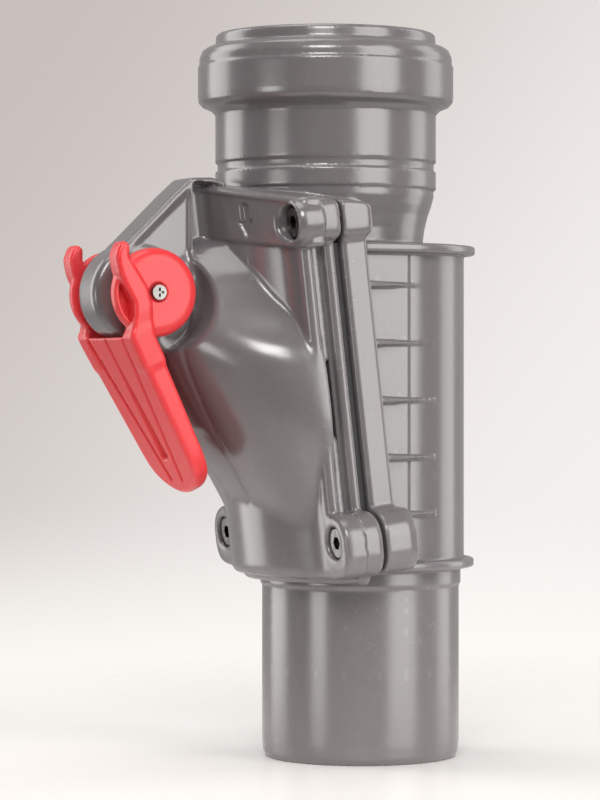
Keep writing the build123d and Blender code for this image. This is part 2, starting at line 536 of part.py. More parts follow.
# the front face leans in towards the tip, and the top clears the boss
blade = bl.part & prism_y([lv(6.2, 5.6), lv(6.2, 11.4), lv(13.0, 11.2), lv(52.0, 9.7), lv(52.0, 5.6)], -19, 19)
blade = blade - cyl_y(12.7, -HUB_IN, HUB_IN, SX, SZ)
for yt, yb2, w, a_top, a_bot in ((-9.6, -3.2, 1.4, 14.0, 47.0), (9.6, 3.2, 1.4, 14.0, 47.0), (0.0, 0.0, 3.0, 14.0, 40.0)):
    with BuildPart() as gr:
        o2 = lv(0.0, 9.2)
        with BuildSketch(Plane(origin=(o2[0], 0, o2[1]), x_dir=(0, 1, 0), z_dir=(nx, 0, nz))):
            with BuildLine():
                Polyline((yt - w / 2, -a_top), (yt + w / 2, -a_top), (yb2 + w / 2, -a_bot), (yb2 - w / 2, -a_bot), close=True)
            make_face()
        extrude(amount=4)
    blade = blade - gr.part
lever = blade + arms[0] + arms[1]
lever = lever - cyl_y(3.03, -15.25, 15.25, SX, SZ) - cyl_y(1.25, -20, 20, SX, SZ)
lever = lever - cyl_y(2.25, 16.0, 18, SX, SZ) - cyl_y(2.25, -18, -16.0, SX, SZ)

lever_screws = []
for s in (-1, 1):
    y0, y1 = sorted((s * 9.0, s * 16.2))
    sc = cyl_y(0.93, y0, y1, SX, SZ) + cyl_y(1.8, min(s * 16.05, s * 17.3), max(s * 16.05, s * 17.3), SX, SZ)
    sc = sc - (Pos(SX, s * 17.3, SZ) * Box(2.2, 1.3, 0.55)) - (Pos(SX, s * 17.3, SZ) * Box(0.55, 1.3, 2.2))
    lever_screws.append(sc)

# ---- write -------------------------------------------------------------------------------
PARTS = {
    "valve_body": body, "socket_seal": socket_seal, "frame_gasket": gasket, "flap_frame": frame,
    "cover_seal": cover_seal, "cover": cover, "cover_screws": Compound(children=screws),
    "threaded_inserts": Compound(children=inserts), "hinge_pin": hinge_pin, "pin_clips": Compound(children=clips),
    "flap": hang(flap), "flap_seal": hang(flap_seal), "seal_retainer": hang(retainer), "retainer_screw": hang(ret_screw),
    "spindle": spindle, "lock_cam": cam, "cam_pin": cam_pin, "spindle_bushes": Compound(children=bushes),
    "spindle_o_rings": Compound(children=orings), "lock_plunger": plunger, "plunger_clip": clip,
    "plunger_guide": guide, "plunger_spring": spring, "lever": lever, "lever_screws": Compound(children=lever_screws),
}

os.makedirs("parts", exist_ok=True)
for name, part in PARTS.items():
    export_step(part, "parts/%s.step" % name)
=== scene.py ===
import bpy
import math
import numpy as np
from mathutils import Matrix, Vector


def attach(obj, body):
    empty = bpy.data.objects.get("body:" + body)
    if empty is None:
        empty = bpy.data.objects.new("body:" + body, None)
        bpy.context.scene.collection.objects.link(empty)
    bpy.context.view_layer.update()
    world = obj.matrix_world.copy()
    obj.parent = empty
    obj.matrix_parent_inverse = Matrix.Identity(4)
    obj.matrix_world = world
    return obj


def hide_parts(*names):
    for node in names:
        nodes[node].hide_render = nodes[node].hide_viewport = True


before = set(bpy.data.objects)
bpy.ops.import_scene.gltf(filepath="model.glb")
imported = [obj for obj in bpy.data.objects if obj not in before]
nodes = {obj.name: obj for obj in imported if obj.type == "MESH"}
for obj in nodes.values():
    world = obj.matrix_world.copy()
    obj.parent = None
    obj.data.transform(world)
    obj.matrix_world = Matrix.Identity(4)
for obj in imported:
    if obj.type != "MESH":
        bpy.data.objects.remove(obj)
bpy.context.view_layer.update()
scene = bpy.context.scene
MM = 0.001

# ---------------------------------------------------------------- dimensions, mm
TILT = math.radians(6.7)
CT, ST = math.cos(TILT), math.sin(TILT)
FX, FZ = 17.0, 96.0
UC = -15.77
SX, SZ = 63.1, 116.6
HX, HZ = 35.6, 120.5
SOCK_X = 9.9


# ---------------------------------------------------------------- field tools
def smin(a, b, k):
    h = np.maximum(k - np.abs(a - b), 0.0) / k
    return np.minimum(a, b) - h * h * k * 0.25


def smax(a, b, k):
    return -smin(-a, -b, k)


def seg2(px, py, ax, ay, bx, by):
    """Distance from points to a line segment in a plane."""
    dx, dy = bx - ax, by - ay
    t = np.clip(((px - ax) * dx + (py - ay) * dy) / (dx * dx + dy * dy), 0.0, 1.0)
    return np.sqrt((px - ax - t * dx) ** 2 + (py - ay - t * dy) ** 2)


def poly2(px, py, pts):
    """Signed distance to a closed polygon, negative inside."""
    px, py = np.broadcast_arrays(px, py)
    d = np.full(px.shape, 1e9, np.float32)
    s = np.ones(px.shape, np.float32)
    n = len(pts)
    for i in range(n):
        ax, ay = pts[i]
        bx, by = pts[i - 1]
        ex, ey = bx - ax, by - ay
        wx, wy = px - ax, py - ay
        t = np.clip((wx * ex + wy * ey) / (ex * ex + ey * ey), 0.0, 1.0)
        d = np.minimum(d, (wx - ex * t) ** 2 + (wy - ey * t) ** 2)
        c1, c2, c3 = py >= ay, py < by, ex * wy > ey * wx
        flip = (c1 & c2 & c3) | (~c1 & ~c2 & ~c3)
        s = np.where(flip, -s, s)
    return s * np.sqrt(d)


def rounded_poly2(px, py, pts, r):
    """Polygon with corners rounded by r: shrink then grow."""
    c = np.array(pts, float)
    area = 0.5 * np.sum(c[:, 0] * np.roll(c[:, 1], -1) - np.roll(c[:, 0], -1) * c[:, 1])
    if area < 0:
        c = c[::-1]
    out = []
    n = len(c)
    for i in range(n):
        p0, p1, p2 = c[i - 1], c[i], c[(i + 1) % n]
        e1 = (p1 - p0) / np.linalg.norm(p1 - p0)
        e2 = (p2 - p1) / np.linalg.norm(p2 - p1)
        n1, n2 = np.array([-e1[1], e1[0]]), np.array([-e2[1], e2[0]])
        b = n1 + n2
        out.append(p1 + b * (r / max(0.25, float(np.dot(b, n1)))))
    return poly2(px, py, [tuple(p) for p in out]) - r


def spline(x, xs, ys):
    """Natural cubic spline through (xs, ys), flat beyond the ends."""
    xs, ys = np.array(xs, float), np.array(ys, float)
    n = len(xs)
    h = np.diff(xs)
    a = np.zeros((n, n))
    r = np.zeros(n)
    a[0, 0] = a[-1, -1] = 1
    for i in range(1, n - 1):
        a[i, i - 1], a[i, i], a[i, i + 1] = h[i - 1], 2 * (h[i - 1] + h[i]), h[i]
        r[i] = 6 * ((ys[i + 1] - ys[i]) / h[i] - (ys[i] - ys[i - 1]) / h[i - 1])
    m = np.linalg.solve(a, r)
    x = np.clip(x, xs[0], xs[-1])
    i = np.clip(np.searchsorted(xs, x, side="right") - 1, 0, n - 2)
    t0, t1 = x - xs[i], xs[i + 1] - x
    out = (m[i] * t1 ** 3 + m[i + 1] * t0 ** 3) / (6 * h[i]) + (ys[i] / h[i] - m[i] * h[i] / 6) * t1 + (ys[i + 1] / h[i] - m[i + 1] * h[i] / 6) * t0
    return out.astype(np.float32)


def gradient(f, p, e=0.04):
    g = np.empty_like(p)
    for a in range(3):
        q0, q1 = p.copy(), p.copy()
        q0[:, a] -= e
        q1[:, a] += e
        g[:, a] = (f(*q1.T) - f(*q0.T)) / (2 * e)
    return g


def surface(f, lo, hi, step):
    """Closed quad mesh of the zero level of f inside the box, pulled onto the exact surface."""
    ax = [np.arange(lo[i], hi[i] + step, step, dtype=np.float32) for i in range(3)]
    shape = tuple(len(a) for a in ax)
    F = np.empty(shape, np.float32)
    for i0 in range(0, shape[0], 24):
        X = ax[0][i0:i0 + 24, None, None]
        F[i0:i0 + 24] = np.broadcast_to(f(X, ax[1][None, :, None], ax[2][None, None, :]), (len(ax[0][i0:i0 + 24]), shape[1], shape[2]))
    inside = F < 0
    c = np.zeros(tuple(s - 1 for s in shape), np.int8)
    for dx in (0, 1):
        for dy in (0, 1):
            for dz in (0, 1):
                c += inside[dx:shape[0] - 1 + dx, dy:shape[1] - 1 + dy, dz:shape[2] - 1 + dz]
    act = (c > 0) & (c < 8)
    ids = np.full(act.shape, -1, np.int32)
    cells = np.argwhere(act)
    ids[act] = np.arange(len(cells))
    corner = {}
    for dx in (0, 1):
        for dy in (0, 1):
            for dz in (0, 1):
                corner[dx, dy, dz] = F[cells[:, 0] + dx, cells[:, 1] + dy, cells[:, 2] + dz]
    acc = np.zeros((len(cells), 3))
    cnt = np.zeros(len(cells))
    for axis in range(3):
        others = [i for i in range(3) if i != axis]
        for p in (0, 1):
            for q in (0, 1):
                a, b = [0, 0, 0], [0, 0, 0]
                a[others[0]] = b[others[0]] = p
                a[others[1]] = b[others[1]] = q
                b[axis] = 1
                fa, fb = corner[tuple(a)], corner[tuple(b)]
                cross = (fa < 0) != (fb < 0)
                t = np.where(cross, fa / np.where(cross, fa - fb, 1), 0)
                pos = np.zeros((len(cells), 3))
                pos[:, axis] = t
                pos[:, others[0]] = p
                pos[:, others[1]] = q
                acc += np.where(cross[:, None], pos, 0)
                cnt += cross
    v = np.array(lo, float) + (cells + acc / cnt[:, None]) * step
    faces = []
    for axis in range(3):
        o1, o2 = [(1, 2), (2, 0), (0, 1)][axis]
        sl0, sl1 = [slice(None)] * 3, [slice(None)] * 3
        sl0[axis], sl1[axis] = slice(0, -1), slice(1, None)
        e = inside[tuple(sl0)] != inside[tuple(sl1)]
        w = np.argwhere(e)
        ok = (w[:, o1] > 0) & (w[:, o2] > 0) & (w[:, o1] < shape[o1] - 1) & (w[:, o2] < shape[o2] - 1)
        w = w[ok]
        flip = ~inside[w[:, 0], w[:, 1], w[:, 2]]
        quad = []
        for da, db in ((0, 0), (-1, 0), (-1, -1), (0, -1)):
            q = w.copy()
            q[:, o1] += da
            q[:, o2] += db
            quad.append(ids[q[:, 0], q[:, 1], q[:, 2]])
        quad = np.stack(quad, 1)
        quad[flip] = quad[flip][:, ::-1]
        faces.append(quad)
    faces = np.concatenate(faces)
    for _ in range(3):
        g = gradient(f, v)
        fv = f(*v.T)
        step_v = -(fv / np.maximum(np.sum(g * g, 1), 0.2))[:, None] * g
        ln = np.linalg.norm(step_v, axis=1, keepdims=True)
        v = v + step_v * np.minimum(1, step * 0.5 / np.maximum(ln, 1e-9))
    return v, faces


def mesh_object(name, v, faces, smooth=True):
    me = bpy.data.meshes.new(name)
    v = np.asarray(v, np.float32) * MM
    faces = np.asarray(faces, np.int32)
    me.vertices.add(len(v))
    me.vertices.foreach_set("co", v.ravel())
    k = faces.shape[1]
    me.loops.add(faces.size)
    me.loops.foreach_set("vertex_index", faces.ravel())
    me.polygons.add(len(faces))
    me.polygons.foreach_set("loop_start", np.arange(0, faces.size, k, dtype=np.int32))
    me.polygons.foreach_set("loop_total", np.full(len(faces), k, np.int32))
    me.update(calc_edges=True)
    me.validate()
    if smooth:
        me.polygons.foreach_set("use_smooth", np.ones(len(me.polygons), bool))
    ob = bpy.data.objects.new(name, me)
    scene.collection.objects.link(ob)
    return ob


# ---------------------------------------------------------------- flange layers (fields in mm)
def uv_of(x, z):
    return (x - FX) * CT - (z - FZ) * ST, (x - FX) * ST + (z - FZ) * CT


def layer_f(u, y, radius, flat, k=2.0):
    return smin(u - flat, np.sqrt((u - UC) ** 2 + y * y) - radius, k)


def roof(y):
    return 51.2 - 0.188 * np.sqrt(y * y + 4.0)


def cap_f(x, y, z):
    """The pitched top edge that the flange layers share."""
    return z - 142.3 - (x - 22.0) * 0.12 + 0.09 * np.sqrt(y * y + 4.0)


def ear_low(ay, v, r):
    return np.minimum(seg2(ay, v, 31.8, -39.2, 31.8, -41.9) - r, np.maximum(np.maximum(28.5 - ay, ay - 31.8), v + 39.2))


def ear_top(ay, v, r):
    return np.minimum(np.sqrt((ay - 29.0) ** 2 + (v - 39.2) ** 2) - r, np.maximum(np.maximum(25.0 - ay, ay - 29.0), 39.2 - v))


def outline_f(y, v, z, edge, grow, rise, z_low):
    ay = np.abs(y)
    e = np.minimum(seg2(ay, v, 31.8, -39.2, 31.8, -41.9) - (6.7 + grow), np.maximum(ay - 31.8, v + 39.2))
    t = np.minimum(np.sqrt((ay - 29.0) ** 2 + (v - 39.2) ** 2) - (5.6 + grow), np.maximum(ay - 29.0, 39.2 - v))
    side = smin(smin(ay - edge, e, 1.6), t, 1.6)
    d = smax(side, v - roof(y) - rise, 3.0)
    return smax(d, z_low - z, 2.4)


def rect2(a, b, ha, b0, b1, r):
    """Rounded rectangle |a| < ha, b0 < b < b1."""
    qa = np.abs(a) - ha + r
    qb = np.abs(b - (b0 + b1) / 2) - (b1 - b0) / 2 + r
    return np.sqrt(np.maximum(qa, 0) ** 2 + np.maximum(qb, 0) ** 2) + np.minimum(np.maximum(qa, qb), 0) - r


# ---------------------------------------------------------------- cover
DOME_Z = [46.0, 52.0, 57.0, 64.0, 74.0, 84.0, 94.0, 104.0, 111.0, 117.0, 122.0, 126.0, 129.0, 131.5, 133.5]
DOME_X0 = [18.5, 19.0, 19.5, 20.5, 22.0, 23.2, 24.4, 25.6, 26.4, 27.1, 27.7, 28.2, 28.6, 28.9, 29.1]
DOME_XS = [27.8, 28.3, 29.3, 32.8, 39.4, 46.2, 52.6, 58.5, 61.4, 61.6, 58.6, 53.8, 48.5, 42.5, 35.0]
DOME_W = [20.5, 21.6, 23.0, 25.6, 29.3, 31.9, 32.1, 29.9, 24.8, 21.1, 18.3, 14.6, 11.9, 9.9, 8.0]
DOME_P = [2.7, 2.7, 2.6, 2.35, 2.1, 1.95, 1.85, 1.72, 1.58, 1.45, 1.4, 1.45, 1.6, 1.8, 2.0]


def dome_f(x, y, z, shrink=0.0):
    x0, xs = spline(z, DOME_Z, DOME_X0), spline(z, DOME_Z, DOME_XS)
    w, p = spline(z, DOME_Z, DOME_W), spline(z, DOME_Z, DOME_P)
    if shrink:
        x0, xs, w = x0 - 6.0, xs - 1.12 * shrink, w - shrink
    dd = xs - x0
    a = np.maximum(np.abs(y) / w, 1e-4)
    b = np.maximum((x - x0) / dd, 1e-4)
    ap, bp = a ** p, b ** p
    g = (ap + bp) ** (1 / p)
    k = g ** (1 - p)
    gy, gx = k * ap / a / w, k * bp / b / dd
    grad = np.sqrt(gx * gx + gy * gy)
    d = (g - 1) / np.maximum(grad, 0.6 / np.maximum(w, dd)) * 0.92
    if shrink:
        d = np.maximum(d, np.maximum(57.0 - z, z - 126.0))
    return smax(d, z - 134.0, 3.0)


FIN = [(28, 126), (36, 143.5), (44, 145.5), (49.6, 145.3), (54.3, 141.1), (67.6, 128.2), (69.1, 120.6), (69.1, 106.5), (56, 102.5), (46, 84), (36, 80), (28, 100)]


def head_f(u, v, y, ay):
    face = (u - (23.5 - 0.2747 * np.sqrt(y * y + 1.0) - 0.0035 * y * y)) * 0.93
    rim = np.clip((roof(y) - 1.35 - v) / 0.7, 0, 1)
    rim = rim * rim * (3 - 2 * rim) * 0.5
    d = smax(face + rim, 37.2 - 0.140 * np.sqrt(y * y + 4.0) - v, 0.9)
    d = smax(d, v - roof(y), 2.0)
    d = smax(d, ay - 33.4, 1.5)
    return smax(d, 5.75 - u, 0.5)


def arrow_f(ay, v):
    shaft = np.maximum(np.abs(ay - 15.3) - 1.15, np.maximum(40.5 - v, v - 44.9))
    head = poly2(ay, v, [(13.0, 40.8), (17.6, 40.8), (15.3, 36.3)])
    return np.minimum(shaft, head)


def cover_f(x, y, z):
    u, v = uv_of(x, z)
    ay = np.abs(y)
    r_sp = np.sqrt((x - SX) ** 2 + (z - SZ) ** 2)
    # flange: proud lip and recessed core
    lip = smax(outline_f(y, v, z, 31.0, 0.0, 0.0, 46.9), layer_f(u, y, 36.5, 11.2), 2.6)
    lip = smax(lip, 7.9 - u, 1.6)
    core = smax(outline_f(y, v, z, 28.9, -0.1, -0.8, 46.9), layer_f(u, y, 35.9, 11.0), 1.2)
    d = smin(lip, core, 0.8)
    eb = smax(smax(ear_low(ay, v, 6.7), u - 10.4, 3.2), 46.9 - z, 2.4)
    et = smax(ear_top(ay, v, 5.6), u - 13.0, 2.6)
    d = smin(smin(d, eb, 0.9), smax(et, v - roof(y), 2.0), 0.9)
    d = smax(d, cap_f(x, y, z), 1.6)
    # dome with the keel line
    dome = dome_f(x, y, z)
    keel = 5.0 + 7.4 * np.clip((z - 60.0) / 50.0, 0, 1)
    groove = np.exp(-((ay - keel) / 0.55) ** 2) * np.clip((112.0 - z) / 8.0, 0, 1) * np.clip((z - 59.0) / 4.0, 0, 1)
    step = 0.5 - 0.5 * np.tanh((ay - keel) / 0.5)
    dome = dome + 0.34 * groove - 0.30 * step * np.clip((112.0 - z) / 8.0, 0, 1) * np.clip((z - 59.0) / 6.0, 0, 1)
    dome = smax(dome, z - 130.2 + 0.10 * ay, 1.6)
    dome = smax(dome, 7.9 - u, 0.8)
    d = smin(d, dome, 1.0)
    # head block
    head = smax(head_f(u, v, y, ay), cap_f(x, y, z), 1.2)
    d = smin(d, head, 0.4)
    # round recesses for the lever's hubs, with a rounded lip
    d = smax(d, -np.maximum(r_sp - 15.8, 5.8 - ay), 1.2)
    # fin with a proud rim along its slanted top
    fp = rounded_poly2(x, z, FIN, 2.2)
    depth = -fp
    t = np.clip((depth - 1.0) / 2.4, 0, 1)
    t = t * t * (3 - 2 * t)
    w = 5.8 - 1.0 * t * np.clip((x - 49.5) / 1.0, 0, 1)
    back = np.clip((49.2 - x) / 1.2, 0, 1) * 4.4 * np.clip((depth - 1.1) / 0.6, 0, 1) * np.clip((z - 126.0) / 3.0, 0, 1)
    w = np.maximum(w - back, 1.0)
    fin = smax(fp, ay - w, 1.3)
    boss = smax(smax(r_sp - 12.3, ay - 5.8, 2.6), 105.4 - z, 2.2)
    fin = smin(fin, boss, 1.0)
    d = smin(d, fin, 2.4)
    # back face
    d = np.maximum(d, -layer_f(u, y, 34.33, 5.78, 0.4))
    # hollow
    inner = np.maximum(dome_f(x, y, z, 2.5), -np.maximum(r_sp - 18.0, 3.4 - ay))
    slot = np.maximum(poly2(x, z, [(34, 124), (40, 127.6), (52, 127.6), (60, 124), (SX, SZ), (SX - 6, SZ - 8.6), (54.5, 104.5), (45.5, 88), (34, 90)]), ay - 3.4)
    slot = np.minimum(slot, np.maximum(r_sp - 10.4, ay - 3.4))
    throat = np.maximum(np.maximum(rect2(y, v, 24.3, -42.6, 34.5, 8.0), -np.maximum(r_sp - 18.0, 3.4 - ay)), layer_f(u, y, 34.1, 9.0, 0.5))
    throat = np.maximum(throat, -u)
    d = np.maximum(d, -np.minimum(np.minimum(inner, slot), throat))
    # spigot and socket clearances
    d = np.maximum(d, -np.maximum(np.sqrt(x * x + y * y) - 26.3, z - 48.3))
    d = np.maximum(d, -np.maximum(np.sqrt((x - SOCK_X) ** 2 + y * y) - 29.0, 131.0 - z))
    # screw seats
    rb = np.sqrt((ay - 31.8) ** 2 + (v + 39.2) ** 2)
    rt = np.sqrt((ay - 29.0) ** 2 + (v - 39.2) ** 2)
    d = smax(d, -np.maximum(rb - 4.0, 7.4 - u), 0.8)
    d = smax(d, -np.maximum(rt - 4.3 - np.clip(u - 12.0, 0, 6) * 0.10, 8.6 - u), 0.8)
    d = np.maximum(d, 2.2 - np.minimum(rb, rt))
    # engraved flow arrow
    arrow = smax(arrow_f(ay, v), (u - (23.5 - 0.2747 * ay - 0.0035 * y * y)) * -0.93 - 1.25, 0.2)
    d = smax(d, -arrow, 0.2)
    # spindle bores
    return np.maximum(d, 4.2 - r_sp)


# ---------------------------------------------------------------- lever
BL = math.radians(-116.7)
EXL, EZL = math.cos(BL), math.sin(BL)
NXL, NZL = -EZL, EXL
ARM = [(-11.0, 3.2), (-13.6, 1.9), (-15.2, 2.6), (-15.0, 3.9), (-14.2, 5.0), (-12.8, 6.3), (-11.0, 6.9), (-8.7, 7.4), (-5.8, 7.5), (-0.8, 7.3),
       (2.4, 8.6), (5.5, 10.8), (9.0, 11.2), (15.5, 11.1), (15.5, 5.6), (8.5, 6.0), (1.8, 3.0), (-2.3, 2.2)]


def lever_f(x, y, z):
    a = (x - SX) * EXL + (z - SZ) * EZL
    n = (x - SX) * NXL + (z - SZ) * NZL
    ay = np.abs(y)
    r = np.sqrt((x - SX) ** 2 + (z - SZ) ** 2)
    hub = smax(smax(r - 10.9, ay - 16.5, 3.4), 12.0 - ay, 1.0)
    pocket = smax(smax(r - 9.8, 6.7 - n, 1.0), 13.3 - ay, 0.8)
    hub = smax(hub, -pocket, 0.7)
    arm = smax(smax(rounded_poly2(a, n, ARM, 0.7), ay - (17.8 - np.clip(a - 2.0, 0, 14) * 0.13), 1.3), 12.0 - ay, 1.2)
    d = smin(hub, arm, 0.35)
    hw = 17.8 - a * 0.092
    tip = np.minimum(a - 32.95, np.sqrt(y * y + (a - 32.95) ** 2) - 17.45)
    plan = smax(ay - hw, tip, 2.2)
    blade = smax(smax(plan, n - (11.3 - (a - 13.0) * 0.041), 1.4), 5.6 - n, 1.2)
    blade = smax(blade, smin(12.7 - r, 12.0 - ay, 1.0), 0.7)
    blade = smax(blade, 6.1 - a, 1.0)
    yl = 9.6 - (a - 14.0) * (6.4 / 33.0)
    run = np.clip((a - 6.6) / 0.8, 0, 1) * np.clip((47.6 - a) / 1.5, 0, 1)
    side_g = np.clip(1.0 - np.abs(ay - yl) / 1.0, 0, 1)
    side_g = side_g * side_g * (3 - 2 * side_g) * 0.85 * run
    wmid = 0.6 + 1.3 * np.clip((a - 14.0) / 28.0, 0, 1)
    mid = np.clip((wmid + 0.45 - ay) / 0.9, 0, 1)
    mid = mid * mid * (3 - 2 * mid) * (0.45 + 1.35 * np.clip((a - 14.0) / 28.0, 0, 1)) * np.clip((a - 6.6) / 0.8, 0, 1) * np.clip((41.0 - a) / 1.4, 0, 1)
    front = np.clip((n - 8.0) / 1.0, 0, 1)
    blade = blade + (side_g + mid) * front
    d = smin(d, blade, 1.6)
    d = np.maximum(d, -np.maximum(r - 3.05, ay - 15.25))
    d = smax(d, -np.maximum(r - 2.3, 15.9 - ay), 0.3)
    return np.maximum(d, 1.0 - r)


# ---------------------------------------------------------------- flap frame
def frame_f(x, y, z):
    u, v = uv_of(x, z)
    ay = np.abs(y)
    lip = smax(outline_f(y, v, z, 31.0, 0.0, 1.2, 45.2), layer_f(u, y, 33.9, 4.9), 2.0)
    lip = smax(lip, 2.02 - u, 1.2)
    core = np.maximum(outline_f(y, v, z, 28.9, -0.1, 0.0, 47.2), layer_f(u, y, 34.3, 5.73, 0.4))
    core = np.maximum(core, 2.02 - u)
    d = smin(lip, core, 0.6)
    back = layer_f(u, y, 32.52, 2.0, 0.4)
    d = np.maximum(d, -back)
    low = smax(np.maximum(smax(ear_low(ay, v, 6.7), 0.87 - u, 1.0), u - 5.74), 46.7 - z, 2.6)
    top = smax(np.maximum(smax(ear_top(ay, v, 5.6), 0.87 - u, 1.0), u - 5.74), v - roof(y) - 1.2, 1.0)
    ears = np.maximum(np.minimum(low, top), -layer_f(u, y, 32.47, -5.0, 0.2))
    d = smin(d, ears, 0.6)
    lug = np.maximum(np.minimum(np.sqrt((x - HX) ** 2 + (z - HZ) ** 2) - 2.9, np.maximum(np.abs(x - HX) - 2.9, np.maximum(HZ - z, z - 132.0))), np.abs(ay - 13.0) - 1.6)
    d = smax(d, cap_f(x, y, z), 1.4)
    d = smax(d, np.minimum(ay - 33.8, z - 100.0), 1.2)
    hole = rect2(y, v, 24.3, -42.6, 34.5, 8.0)
    d = np.maximum(d, -hole)
    d = np.minimum(d, np.maximum(lug, v - 35.5))
    d = np.maximum(d, -np.maximum(np.sqrt(x * x + y * y) - 26.3, z - 50.5))
    d = np.maximum(d, -np.maximum(np.sqrt((x - SOCK_X) ** 2 + y * y) - 29.0, 127.0 - z))
    rb = np.sqrt((ay - 31.8) ** 2 + (v + 39.2) ** 2)
    rt = np.sqrt((ay - 29.0) ** 2 + (v - 39.2) ** 2)
    d = np.maximum(d, 2.2 - np.minimum(rb, rt))
    return np.maximum(d, -np.maximum(np.sqrt((x - HX) ** 2 + (z - HZ) ** 2) - 1.53, np.abs(ay - 13.0) - 3.0))


# ---------------------------------------------------------------- valve body
SOCK = [(0, 126.9), (24.6, 126.9), (24.6, 130.0), (25.0, 133.2), (25.8, 136.6), (26.7, 139.2), (27.3, 141.4), (27.3, 143.1), (27.9, 143.4), (27.9, 147.7),
        (27.35, 148.0), (27.35, 149.9), (27.9, 150.2), (27.9, 162.3), (29.2, 163.6), (31.2, 164.4), (32.1, 165.4), (32.3, 166.8), (32.3, 174.4),
        (31.95, 174.7), (31.9, 176.6), (31.2, 178.3), (29.9, 179.2), (28.3, 179.3), (27.9, 179.7), (27.7, 182.1), (27.1, 182.7), (0, 182.7)]
SOCK_HOLE = [(-5, 130), (19.6, 130), (22.4, 134.5), (23.0, 141.0), (25.25, 143.2), (25.25, 166.6), (29.9, 166.6), (29.9, 177.4), (25.25, 177.4),
             (25.25, 181.3), (26.35, 182.7), (26.35, 186), (-5, 186)]
SPIGOT = [(-5, 0), (24.0, 0), (24.75, 1.6), (25.0, 4.5), (25.0, 43.5), (25.45, 44.1), (25.45, 49.1), (-5, 49.1)]


def body_f(x, y, z):
    u, v = uv_of(x, z)
    ay = np.abs(y)
    rs = np.sqrt((x - SOCK_X) ** 2 + y * y)
    rp = np.sqrt(x * x + y * y)
    front = layer_f(u, y, 31.27, 0.0)
    # flange band
    band = smax(smax(outline_f(y, v, z, 31.0, 0.0, 0.0, 48.2), front, 1.6), -7.0 - u, 1.2)
    side = np.minimum(ay - 33.0, z - 100.0)
    band = smax(smax(band, cap_f(x, y, z), 1.2), side, 1.0)
    # chamber
    back = np.where(x < 0, rp - 26.3, ay - 26.5)
    ch = np.maximum(smax(back, front, 1.0), np.maximum(48.2 - z, z - 129.2))
    # plates
    pl = np.where(x < -1.0, rp - 28.8, ay - 28.8)
    p_lo = smax(smax(np.maximum(pl, x - 12.0), np.maximum(48.1 - z, z - 50.4), 0.9), front, 1.0)
    p_hi = smax(smax(np.maximum(pl - 0.3, x - 16.0), np.maximum(126.9 - z, z - 129.2), 0.9), front, 1.0)
    d = smin(smin(band, ch, 0.8), smin(p_lo, p_hi, 0.1), 0.8)
    # ear bosses
    lo = smax(smax(ear_low(ay, v, 6.5), u, 0.9), smax(-8.9 - u, 48.2 - z, 1.2), 1.2)
    to = smax(np.sqrt((ay - 29.0) ** 2 + (v - 39.2) ** 2) - 5.2, smax(u, -8.2 - u, 1.2), 1.2)
    to = smax(smax(to, cap_f(x, y, z), 1.0), side, 1.0)
    d = smin(d, smin(lo, to, 0.1), 0.9)
    # gussets
    for zc in (118.9, 104.6, 90.5, 76.4, 62.4):
        xb = FX - 7.0 * CT + (zc - FZ) * math.tan(TILT) + 0.6
        run = x - (xb - 14.5)
        g = np.maximum(np.abs(z - zc) - 0.15 - 0.035 * run, np.maximum((ay - 26.5) - run * 0.26, np.maximum(x - xb, 25.5 - ay)))
        d = smin(d, g, 0.6)
    d = smin(d, poly2(rs, z, SOCK), 0.8)
    d = smin(d, poly2(rp, z, SPIGOT), 0.3)
    # waterway
    inner = np.where(x < 0, rp - 24.2, ay - 24.3)
    inner = np.maximum(np.maximum(inner, np.maximum(50.4 - z, z - 126.9)), layer_f(u, y, 27.27, -4.0))
    hole = np.maximum(rect2(y, v, 24.3, -42.6, 34.5, 8.0), np.maximum(6.0 - x, np.maximum(50.0 - z, z - 130.0)))
    inner = np.minimum(inner, hole)
    ring = np.maximum(np.maximum(rs - 21.9, 123.6 - z), z - 128.0)
    d = np.maximum(d, -inner)
    d = np.minimum(d, ring)
    d = np.maximum(d, -np.maximum(rs - 19.6, np.maximum(122.0 - z, z - 134.0)))
    d = np.maximum(d, -poly2(rs, z, SOCK_HOLE))
    d = np.maximum(d, -np.maximum(rp - 23.2, z - 51.4))
    mid = np.minimum(z - 48.1, 146.0 - z)
    d = np.where(mid > 0, np.maximum(d, layer_f(u, y, 31.27, 0.0)), d)
    rb = np.sqrt((ay - 31.8) ** 2 + (v + 39.2) ** 2)
    rt = np.sqrt((ay - 29.0) ** 2 + (v - 39.2) ** 2)
    return np.maximum(d, -np.maximum(np.minimum(rb, rt) - 2.75, -7.6 - u))


# ---------------------------------------------------------------- materials
def new_material(name):
    m = bpy.data.materials.new(name)
    m.use_nodes = True
    nt = m.node_tree
    nt.nodes.clear()
    out = nt.nodes.new("ShaderNodeOutputMaterial")
    sh = nt.nodes.new("ShaderNodeBsdfPrincipled")
    nt.links.new(sh.outputs[0], out.inputs[0])
    tc = nt.nodes.new("ShaderNodeTexCoord")
    return m, nt, sh, tc.outputs["Object"]


def noise(nt, coord, scale, detail=3.0, rough=0.5, stretch=None):
    src = coord
    if stretch:
        mp = nt.nodes.new("ShaderNodeMapping")
        mp.inputs["Scale"].default_value = stretch
        nt.links.new(coord, mp.inputs[0])
        src = mp.outputs[0]
    n = nt.nodes.new("ShaderNodeTexNoise")
    n.inputs["Scale"].default_value = scale
    n.inputs["Detail"].default_value = detail
    n.inputs["Roughness"].default_value = rough
    nt.links.new(src, n.inputs["Vector"])
    return n.outputs[0]


def ramp(nt, src, lo, hi, a, b):
    r = nt.nodes.new("ShaderNodeMapRange")
    r.inputs[1].default_value, r.inputs[2].default_value = lo, hi
    r.inputs[3].default_value, r.inputs[4].default_value = a, b
    nt.links.new(src, r.inputs[0])
    return r.outputs[0]


